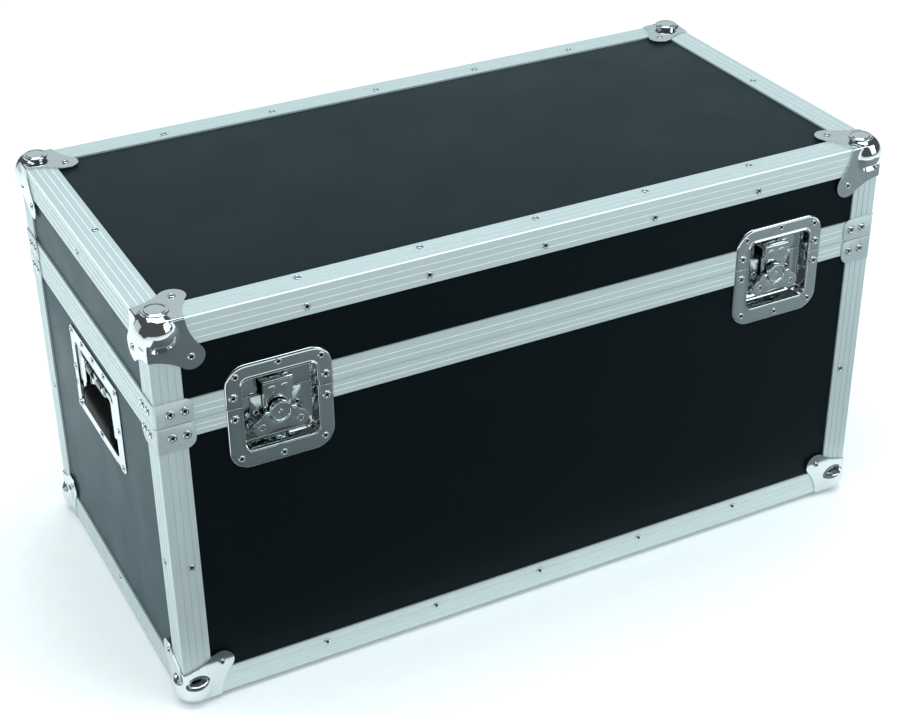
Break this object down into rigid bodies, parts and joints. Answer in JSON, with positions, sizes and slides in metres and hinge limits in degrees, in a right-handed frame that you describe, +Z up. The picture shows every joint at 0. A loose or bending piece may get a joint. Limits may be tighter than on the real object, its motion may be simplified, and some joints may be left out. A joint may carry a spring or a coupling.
{
  "type": "flight case",
  "caption": "Long black flight case with aluminium edges, steel ball corners, recessed twist latches, spring handles and a lid hinged at the back.",
  "frame": {"origin": "centre of the footprint, on the plane the lower ball corners stand on", "axes": "+X along the long side towards the right end, +Y towards the hinged back, +Z up; the latches face -Y"},
  "size_m": [0.8458, 0.4288, 0.459],
  "materials": {
    "laminate": "fine textured black laminate on birch plywood",
    "extrusion": "satin anodised",
    "corner_steel": "polished zinc or chrome plate",
    "brace_steel": "bright zinc plate",
    "rivet_steel": "bright plated",
    "hardware_chrome": "chrome plated pressed steel",
    "bracket_steel": "zinc plated",
    "spring_steel": "bare spring wire",
    "hinge_steel": "zinc plated",
    "grip_rubber": "moulded black rubber",
    "foam": "open-cell polyurethane foam"
  },
  "bodies": {
    "base": {"base_floor": "laminate", "base_front_panel": "laminate", "base_back_panel": "laminate", "base_left_panel": "laminate", "base_right_panel": "laminate", "base_long_edges": "extrusion", "base_short_edges": "extrusion", "base_corner_posts": "extrusion", "base_front_closing_rail": "extrusion", "base_back_closing_rail": "extrusion", "base_end_closing_rails": "extrusion", "base_ball_corners": "corner_steel", "base_corner_braces": "brace_steel", "base_small_rivets": "rivet_steel", "base_dome_rivets": "rivet_steel", "left_latch_base_dish": "hardware_chrome", "left_latch_frame": "bracket_steel", "left_latch_spring": "spring_steel", "right_latch_base_dish": "hardware_chrome", "right_latch_frame": "bracket_steel", "right_latch_spring": "spring_steel", "left_handle_dish": "hardware_chrome", "left_handle_springs": "spring_steel", "right_handle_dish": "hardware_chrome", "right_handle_springs": "spring_steel", "hinge_base_leaves": "hinge_steel", "hinge_pins": "hinge_steel", "base_foam_lining": "foam"},
    "lid": {"lid_top_panel": "laminate", "lid_front_panel": "laminate", "lid_back_panel": "laminate", "lid_left_panel": "laminate", "lid_right_panel": "laminate", "lid_long_edges": "extrusion", "lid_short_edges": "extrusion", "lid_corner_posts": "extrusion", "lid_front_closing_rail": "extrusion", "lid_back_closing_rail": "extrusion", "lid_end_closing_rails": "extrusion", "lid_ball_corners": "corner_steel", "lid_corner_braces": "brace_steel", "lid_small_rivets": "rivet_steel", "lid_dome_rivets": "rivet_steel", "left_latch_lid_dish": "hardware_chrome", "left_latch_keeper": "bracket_steel", "right_latch_lid_dish": "hardware_chrome", "right_latch_keeper": "bracket_steel", "hinge_lid_leaves": "hinge_steel", "lid_foam_pad": "foam"},
    "left_hub": {"left_latch_hub": "hardware_chrome"},
    "left_wing": {"left_latch_wing": "hardware_chrome"},
    "left_hook": {"left_latch_hook": "hardware_chrome"},
    "left_handle": {"left_handle_loop": "hardware_chrome", "left_handle_grip": "grip_rubber"},
    "right_hub": {"right_latch_hub": "hardware_chrome"},
    "right_wing": {"right_latch_wing": "hardware_chrome"},
    "right_hook": {"right_latch_hook": "hardware_chrome"},
    "right_handle": {"right_handle_loop": "hardware_chrome", "right_handle_grip": "grip_rubber"}
  },
  "joints": [
    {"name": "lid_hinge", "type": "hinge", "parent": "base", "child": "lid", "pos_m": [0, 0.2106, 0.3425], "axis": [-1, 0, 0], "range_deg": [0, 100]},
    {"name": "left_latch_turn", "type": "hinge", "parent": "base", "child": "left_hub", "pos_m": [-0.29, -0.2007, 0.3255], "axis": [0, 1, 0], "range_deg": [0, 180]},
    {"name": "left_wing_fold", "type": "hinge", "parent": "left_hub", "child": "left_wing", "pos_m": [-0.29, -0.2047, 0.3255], "axis": [-1, 0, 0], "range_deg": [0, 90]},
    {"name": "left_hook_draw", "type": "slide", "parent": "base", "child": "left_hook", "axis": [0, 0.7295, -0.6839], "range_m": [0, 0.0044]},
    {"name": "left_handle_swing", "type": "hinge", "parent": "base", "child": "left_handle", "pos_m": [-0.41, 0, 0.286], "axis": [0, 1, 0], "range_deg": [0, 90], "stiffness_Nm_per_rad": 0.12, "springref_deg": -8.59},
    {"name": "right_latch_turn", "type": "hinge", "parent": "base", "child": "right_hub", "pos_m": [0.29, -0.2007, 0.3255], "axis": [0, 1, 0], "range_deg": [0, 180]},
    {"name": "right_wing_fold", "type": "hinge", "parent": "right_hub", "child": "right_wing", "pos_m": [0.29, -0.2047, 0.3255], "axis": [-1, 0, 0], "range_deg": [0, 90]},
    {"name": "right_hook_draw", "type": "slide", "parent": "base", "child": "right_hook", "axis": [0, 0.7295, -0.6839], "range_m": [0, 0.0044]},
    {"name": "right_handle_swing", "type": "hinge", "parent": "base", "child": "right_handle", "pos_m": [0.41, 0, 0.286], "axis": [0, -1, 0], "range_deg": [0, 90], "stiffness_Nm_per_rad": 0.12, "springref_deg": -8.59}
  ],
  "couplings": [
    {"joint": "left_hook_draw", "follows": "left_latch_turn", "m_per_rad": 0.0013962},
    {"joint": "right_hook_draw", "follows": "right_latch_turn", "m_per_rad": 0.0013962}
  ]
}
